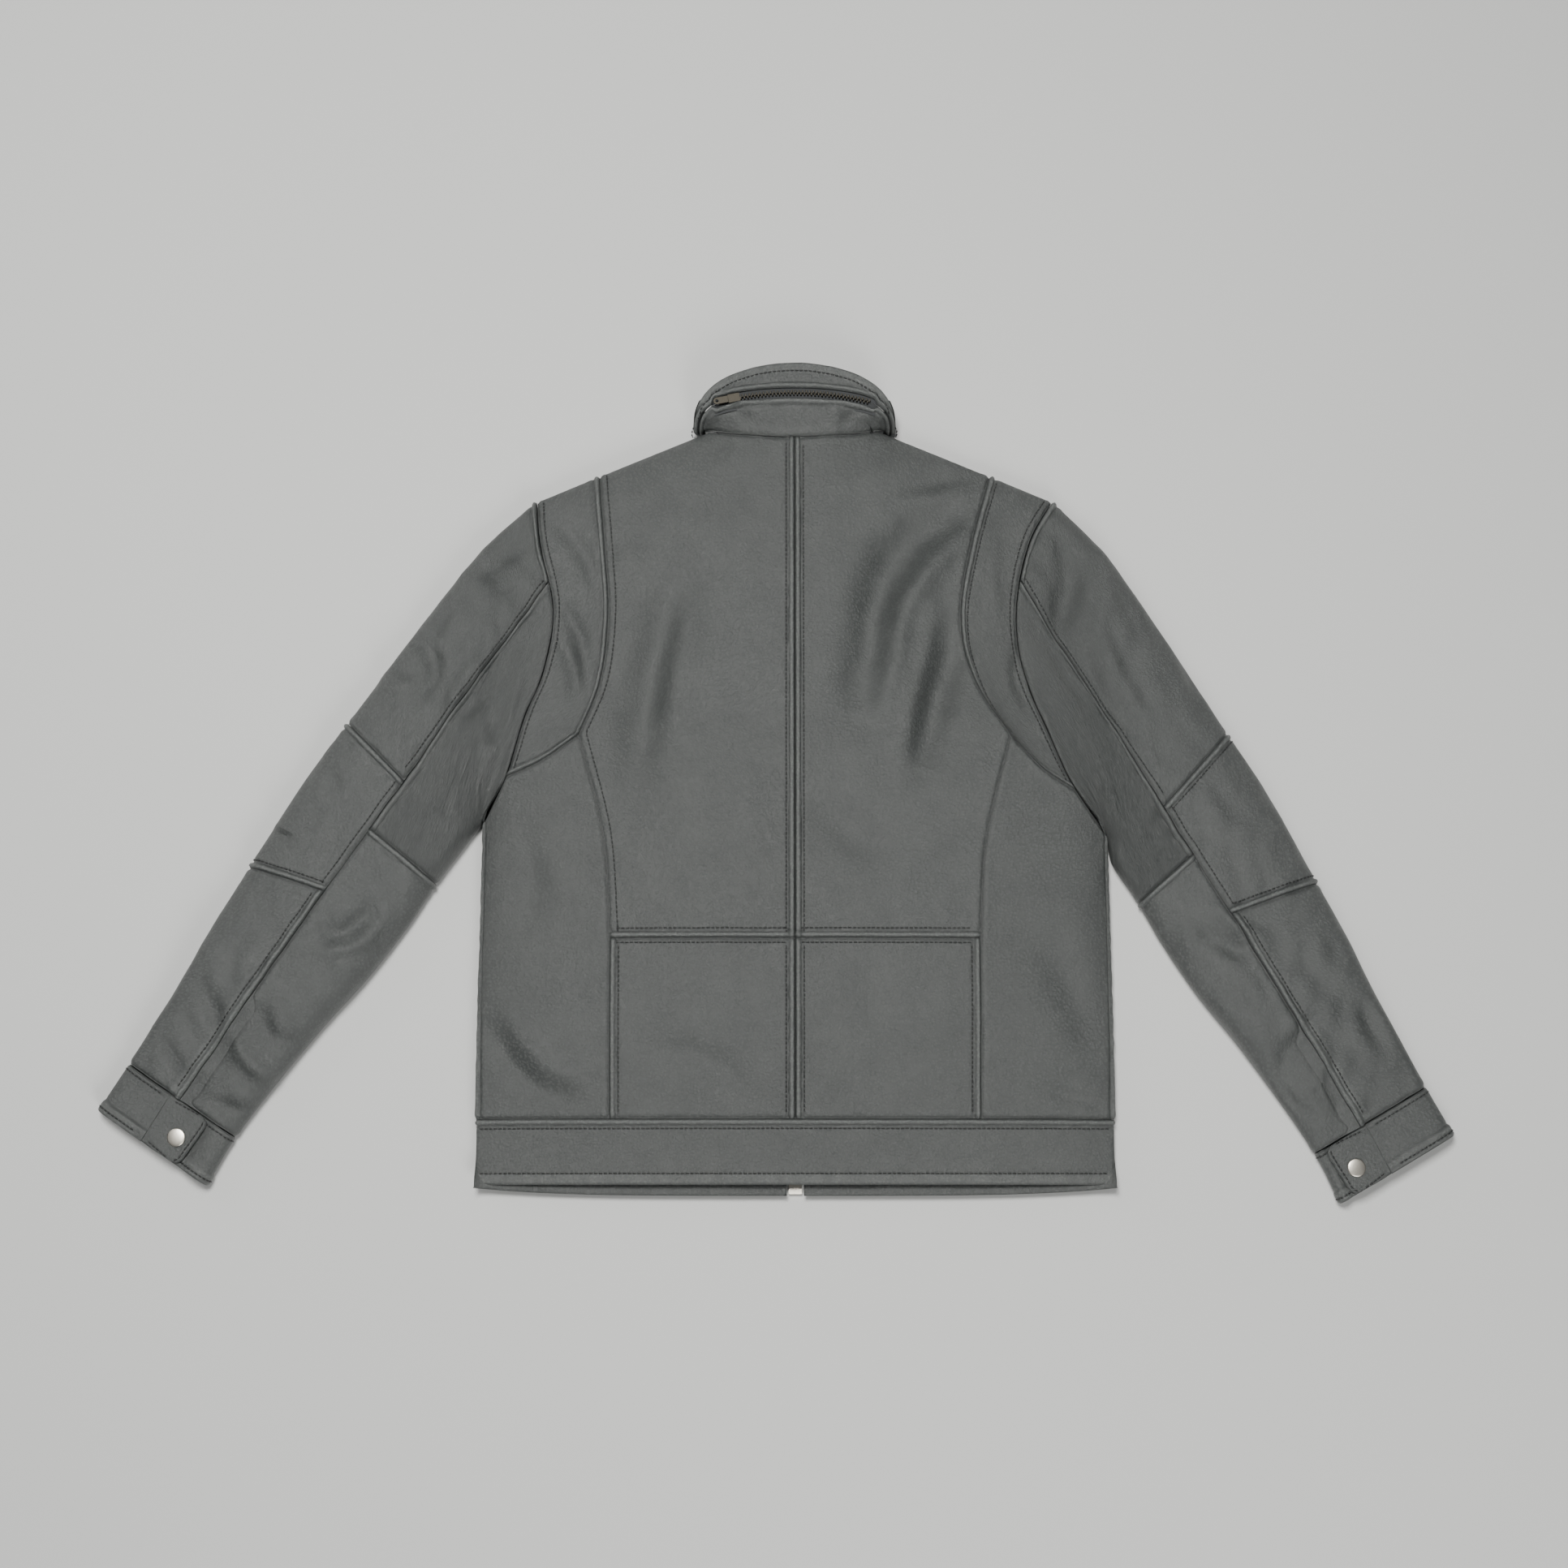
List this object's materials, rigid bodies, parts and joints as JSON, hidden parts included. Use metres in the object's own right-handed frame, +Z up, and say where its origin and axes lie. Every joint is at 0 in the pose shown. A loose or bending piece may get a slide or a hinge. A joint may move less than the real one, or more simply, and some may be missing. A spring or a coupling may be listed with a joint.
{
  "type": "leather jacket",
  "caption": "Zip-front leather work jacket lying flat, back upwards, with folding sleeves, snap cuff tabs and a collar closed by a curved zip.",
  "frame": {"origin": "middle of the lying jacket's bounding box, on the surface it lies on", "axes": "+X from cuff to cuff towards the wearer's right sleeve, +Y from the hem towards the collar, +Z up out of the back of the jacket"},
  "size_m": [1.136, 0.7344, 0.0401],
  "materials": {
    "leather": "pebble-grained, satin",
    "lining_cloth": "plain woven lining",
    "zip_tape": "ribbed woven tape",
    "zip_metal": "plain polished zip metal",
    "nickel": "satin nickel"
  },
  "bodies": {
    "body": {"back_lower_left": "leather", "back_lower_right": "leather", "back_upper_left": "leather", "back_upper_right": "leather", "collar_band": "leather", "collar_stand": "leather", "collar_zip_tape_lower": "zip_tape", "collar_zip_tape_upper": "zip_tape", "collar_zip_teeth": "zip_metal", "front_panel_left": "leather", "front_panel_right": "leather", "front_zip_end_box": "zip_metal", "front_zip_tape_left": "zip_tape", "front_zip_tape_right": "zip_tape", "front_zip_teeth": "zip_metal", "lining_back_left": "lining_cloth", "lining_back_right": "lining_cloth", "lining_front_left": "lining_cloth", "lining_front_right": "lining_cloth", "shoulder_panel_left": "leather", "shoulder_panel_right": "leather", "side_panel_left": "leather", "side_panel_right": "leather", "waistband_back": "leather", "waistband_front_left": "leather", "waistband_front_right": "leather"},
    "sleeve_left": {"sleeve_upper_outer_left": "leather", "sleeve_upper_under_left": "leather", "sleeve_lining_upper_left": "lining_cloth"},
    "forearm_left": {"elbow_patch_left": "leather", "sleeve_lower_outer_left": "leather", "sleeve_lower_under_left": "leather", "sleeve_lining_lower_left": "lining_cloth", "cuff_band_left": "leather", "snap_stud_left": "nickel"},
    "tab_left": {"cuff_tab_left": "leather", "snap_cap_left": "nickel", "snap_socket_left": "nickel"},
    "sleeve_right": {"sleeve_upper_outer_right": "leather", "sleeve_upper_under_right": "leather", "sleeve_lining_upper_right": "lining_cloth"},
    "forearm_right": {"elbow_patch_right": "leather", "sleeve_lower_outer_right": "leather", "sleeve_lower_under_right": "leather", "sleeve_lining_lower_right": "lining_cloth", "cuff_band_right": "leather", "snap_stud_right": "nickel"},
    "tab_right": {"cuff_tab_right": "leather", "snap_cap_right": "nickel", "snap_socket_right": "nickel"},
    "front_slider": {"front_zip_slider": "zip_metal"},
    "front_pull": {"front_zip_pull": "zip_metal"},
    "collar_slider": {"collar_zip_slider": "zip_metal"},
    "collar_pull": {"collar_zip_pull": "zip_metal"}
  },
  "joints": [
    {"name": "shoulder_fold_left", "type": "hinge", "parent": "body", "child": "sleeve_left", "pos_m": [-0.2318, 0.10118, 0.044], "axis": [0.1333, 0.9911, 0], "range_deg": [0, 165]},
    {"name": "shoulder_fold_right", "type": "hinge", "parent": "body", "child": "sleeve_right", "pos_m": [0.2652, 0.09518, 0.044], "axis": [0.1281, -0.9918, 0], "range_deg": [0, 165]},
    {"name": "elbow_bend_left", "type": "hinge", "parent": "sleeve_left", "child": "forearm_left", "pos_m": [-0.29089, -0.09782, 0.017], "axis": [0, 0, 1], "range_deg": [0, 30]},
    {"name": "elbow_bend_right", "type": "hinge", "parent": "sleeve_right", "child": "forearm_right", "pos_m": [0.31044, -0.11457, 0.017], "axis": [0, 0, -1], "range_deg": [0, 30]},
    {"name": "cuff_tab_left", "type": "hinge", "parent": "forearm_left", "child": "tab_left", "pos_m": [-0.52756, -0.31642, 0.02], "axis": [-0.5519, -0.8339, 0], "range_deg": [0, 120]},
    {"name": "cuff_tab_right", "type": "hinge", "parent": "forearm_right", "child": "tab_right", "pos_m": [0.5113, -0.34307, 0.02], "axis": [-0.5, 0.866, 0], "range_deg": [0, 120]},
    {"name": "front_zip_slide", "type": "slide", "parent": "body", "child": "front_slider", "axis": [0, -1, 0], "range_m": [0, 0.52]},
    {"name": "front_pull_flip", "type": "hinge", "parent": "front_slider", "child": "front_pull", "pos_m": [0.0167, 0.20488, 0.00005], "axis": [1, 0, 0], "range_deg": [0, 150]},
    {"name": "collar_zip_slide", "type": "hinge", "parent": "body", "child": "collar_slider", "pos_m": [0.0167, 0.07897, 0.0385], "axis": [0, 0, -1], "range_deg": [0, 25.3]},
    {"name": "collar_pull_flip", "type": "hinge", "parent": "collar_slider", "child": "collar_pull", "pos_m": [-0.04232, 0.33197, 0.0401], "axis": [-0.2065, 0.9784, 0], "range_deg": [0, 150]}
  ]
}
